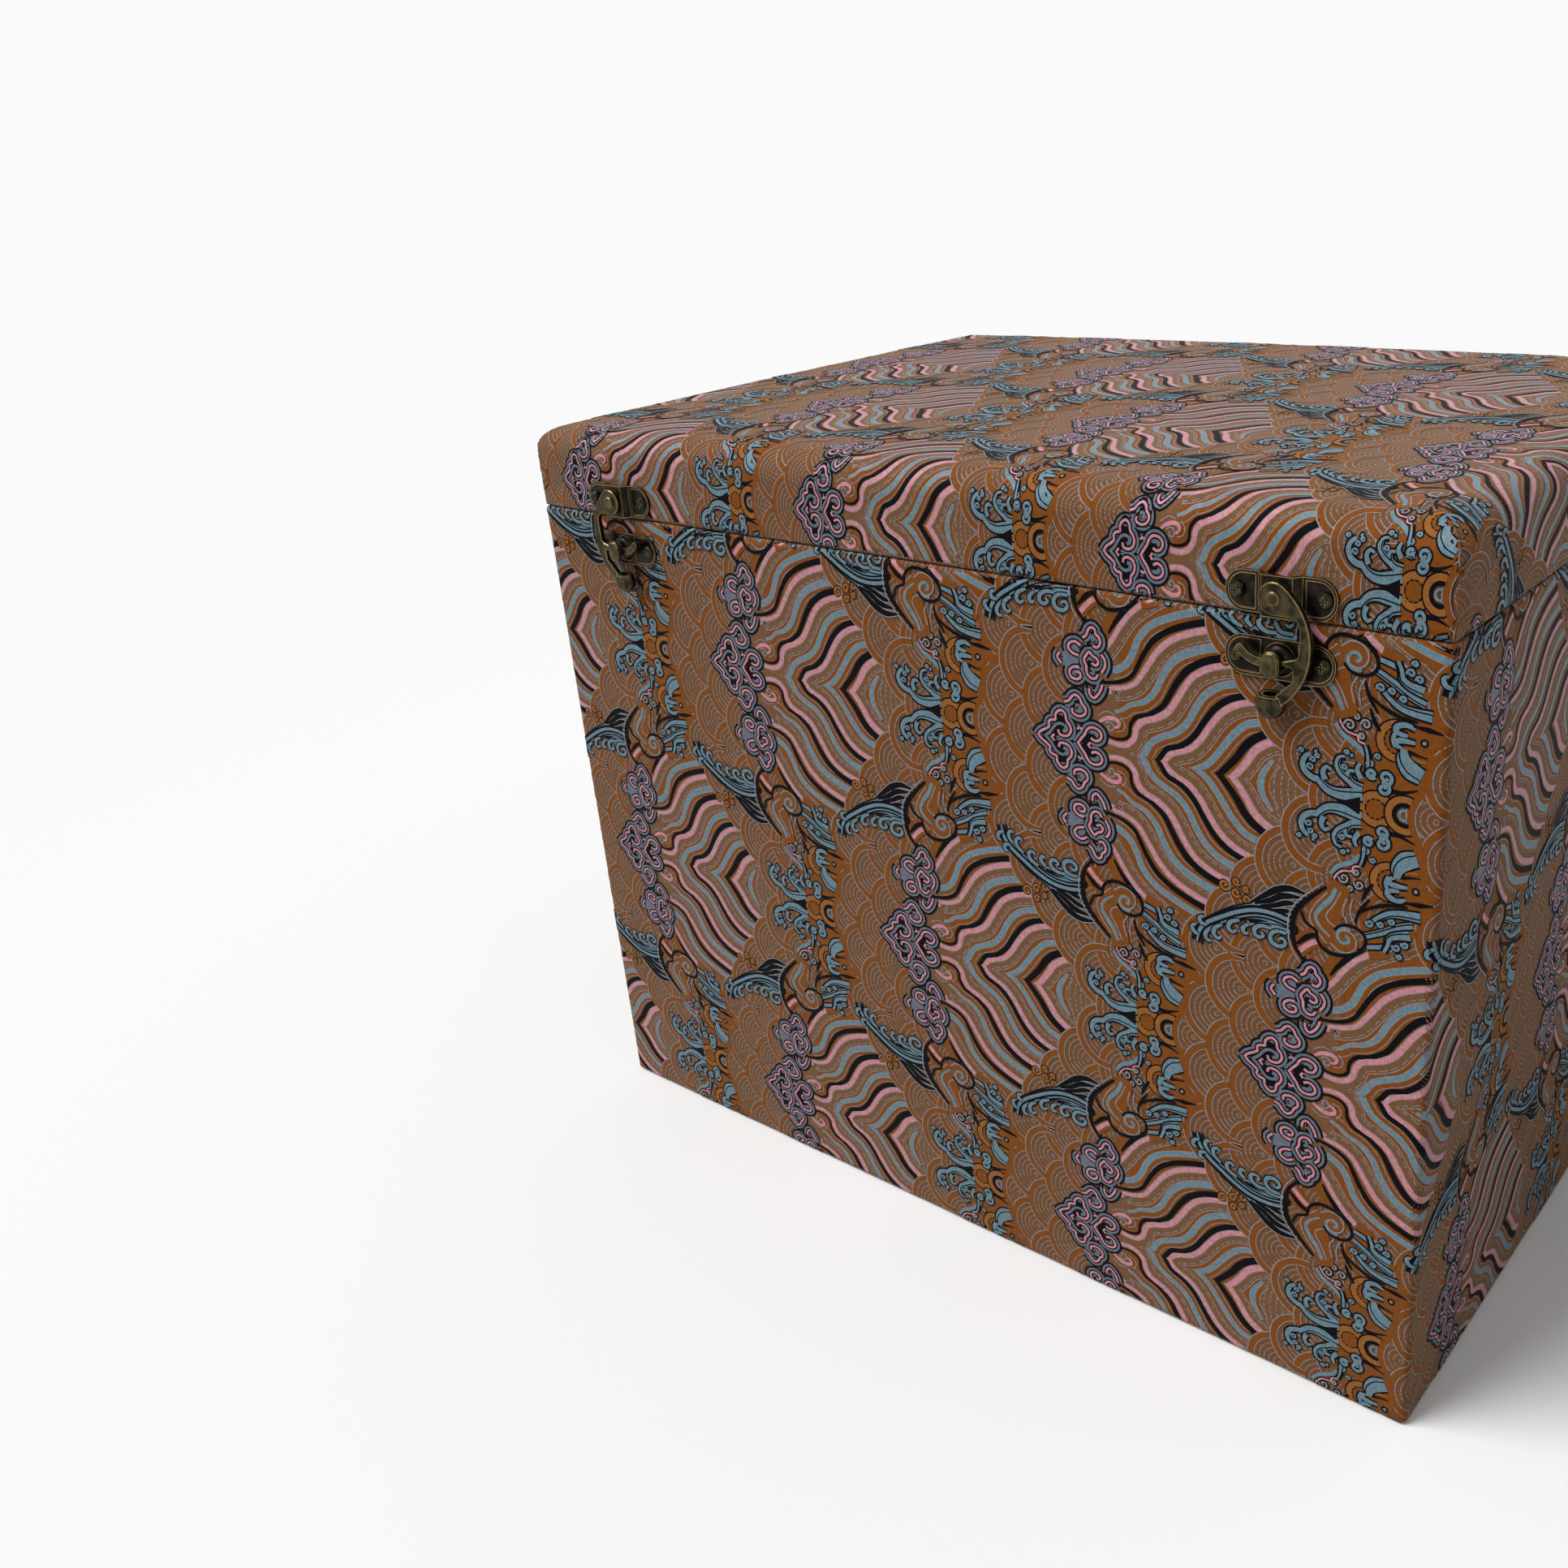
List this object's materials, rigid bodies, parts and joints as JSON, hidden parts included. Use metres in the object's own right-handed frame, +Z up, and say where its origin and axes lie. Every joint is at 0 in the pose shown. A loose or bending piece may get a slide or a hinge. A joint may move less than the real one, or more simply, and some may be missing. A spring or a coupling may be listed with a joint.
{
  "type": "chinese brocade box",
  "caption": "Brocade covered wooden box with a padded hinged lid and mirrored antique bronze hook latches.",
  "frame": {"origin": "middle of the base, on the surface that the box stands on", "axes": "+X along the width to the right as seen from the front, -Y out of the front with the latches, +Z up"},
  "size_m": [0.3, 0.2334, 0.2393],
  "materials": {
    "brocade": "woven rust, blue, pink and black brocade",
    "board": "plain fibre board",
    "base_paper": "dark paper backed cloth",
    "wadding": "foam and felt",
    "lining_satin": "golden satin over card",
    "antique_bronze": "antiqued, burnished edges",
    "spring_steel": "bright"
  },
  "bodies": {
    "case": {"base_sheet": "base_paper", "bottom_board": "board", "front_board": "board", "back_board": "board", "left_board": "board", "right_board": "board", "body_brocade": "brocade", "front_lining": "lining_satin", "back_lining": "lining_satin", "left_lining": "lining_satin", "right_lining": "lining_satin", "floor_cushion": "lining_satin", "left_hinge_lower_leaf": "antique_bronze", "left_hinge_pin": "antique_bronze", "left_hinge_lower_screws": "antique_bronze", "left_strike_plate": "antique_bronze", "left_strike_screws": "antique_bronze", "left_catch_washer": "spring_steel", "right_hinge_lower_leaf": "antique_bronze", "right_hinge_pin": "antique_bronze", "right_hinge_lower_screws": "antique_bronze", "right_strike_plate": "antique_bronze", "right_strike_screws": "antique_bronze", "right_catch_washer": "spring_steel"},
    "lid": {"lid_top_board": "board", "lid_front_board": "board", "lid_back_board": "board", "lid_left_board": "board", "lid_right_board": "board", "lid_top_wadding": "wadding", "lid_side_wadding": "wadding", "lid_brocade": "brocade", "lid_lining_strip": "lining_satin", "lid_cushion": "lining_satin", "left_hinge_upper_leaf": "antique_bronze", "left_hinge_upper_screws": "antique_bronze", "left_latch_plate": "antique_bronze", "left_latch_screws": "antique_bronze", "left_latch_rivet": "antique_bronze", "right_hinge_upper_leaf": "antique_bronze", "right_hinge_upper_screws": "antique_bronze", "right_latch_plate": "antique_bronze", "right_latch_screws": "antique_bronze", "right_latch_rivet": "antique_bronze"},
    "left_hook": {"left_hook": "antique_bronze"},
    "left_catch": {"left_catch_post": "antique_bronze", "left_catch_lever": "antique_bronze"},
    "right_hook": {"right_hook": "antique_bronze"},
    "right_catch": {"right_catch_post": "antique_bronze", "right_catch_lever": "antique_bronze"}
  },
  "joints": [
    {"name": "lid_hinge", "type": "hinge", "parent": "case", "child": "lid", "pos_m": [0, 0.1139, 0.21305], "axis": [-1, 0, 0], "range_deg": [0, 170]},
    {"name": "left_hook_swing", "type": "hinge", "parent": "lid", "child": "left_hook", "pos_m": [-0.1117, -0.1115, 0.2186], "axis": [0, 1, 0], "range_deg": [0, 90]},
    {"name": "left_catch_turn", "type": "hinge", "parent": "case", "child": "left_catch", "pos_m": [-0.1117, -0.1115, 0.2036], "axis": [0, 1, 0], "range_deg": [0, 40]},
    {"name": "right_hook_swing", "type": "hinge", "parent": "lid", "child": "right_hook", "pos_m": [0.1103, -0.1115, 0.2186], "axis": [0, -1, 0], "range_deg": [0, 90]},
    {"name": "right_catch_turn", "type": "hinge", "parent": "case", "child": "right_catch", "pos_m": [0.1103, -0.1115, 0.2036], "axis": [0, -1, 0], "range_deg": [0, 40]}
  ]
}
